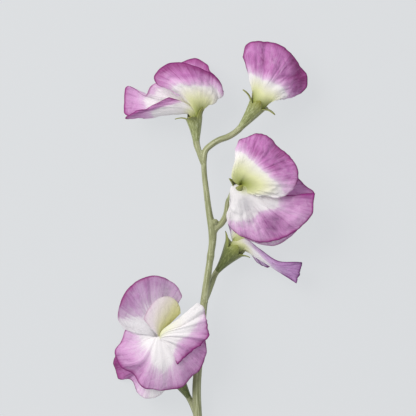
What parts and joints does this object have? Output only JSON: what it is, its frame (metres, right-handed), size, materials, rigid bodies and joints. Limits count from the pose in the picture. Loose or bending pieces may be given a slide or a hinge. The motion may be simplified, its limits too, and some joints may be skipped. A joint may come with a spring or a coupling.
{
  "type": "cut sweet pea flower stem",
  "caption": "Branching sweet pea stem laid flat, with calyxes that carry ruffled lilac, pink and cream petals.",
  "frame": {"origin": "middle of the spray's footprint on the surface that it lies on", "axes": "+Y runs up the stem from its cut end to the top blossoms, +Z points away from the surface, +X to the right seen from above"},
  "size_m": [0.0853, 0.2026, 0.0322],
  "materials": {
    "stem": "fresh pale grey-green stem skin with fine lengthwise streaks, satin",
    "calyx": "fresh green calyx skin with pale ribs, satin",
    "standard_petal": "thin ruffled petal, lilac pink with a cream base, fine veins and a dark rim, soft sheen",
    "wing_petal": "thin ruffled petal, white to lilac with fine veins and a purple rim, soft sheen",
    "keel_petal": "thin folded petal, cream with a faint pink flush, soft sheen"
  },
  "bodies": {
    "root": {"stem": "stem", "calyx_top_left": "calyx", "calyx_top_right": "calyx", "calyx_middle": "calyx", "calyx_low_right": "calyx", "calyx_low_left": "calyx", "standard_top_left": "standard_petal", "standard_top_right": "standard_petal", "standard_middle": "standard_petal", "standard_low_right": "standard_petal", "standard_low_left": "standard_petal", "wing_near_top_left": "wing_petal", "wing_far_top_left": "wing_petal", "wing_left_top_right": "wing_petal", "wing_right_top_right": "wing_petal", "wing_near_middle": "wing_petal", "wing_far_middle": "wing_petal", "wing_near_low_right": "wing_petal", "wing_far_low_right": "wing_petal", "wing_left_low_left": "wing_petal", "wing_right_low_left": "wing_petal", "keel_top_left": "keel_petal", "keel_top_right": "keel_petal", "keel_middle": "keel_petal", "keel_low_right": "keel_petal", "keel_low_left": "keel_petal", "rear_petal_low_left": "wing_petal"}
  },
  "joints": []
}
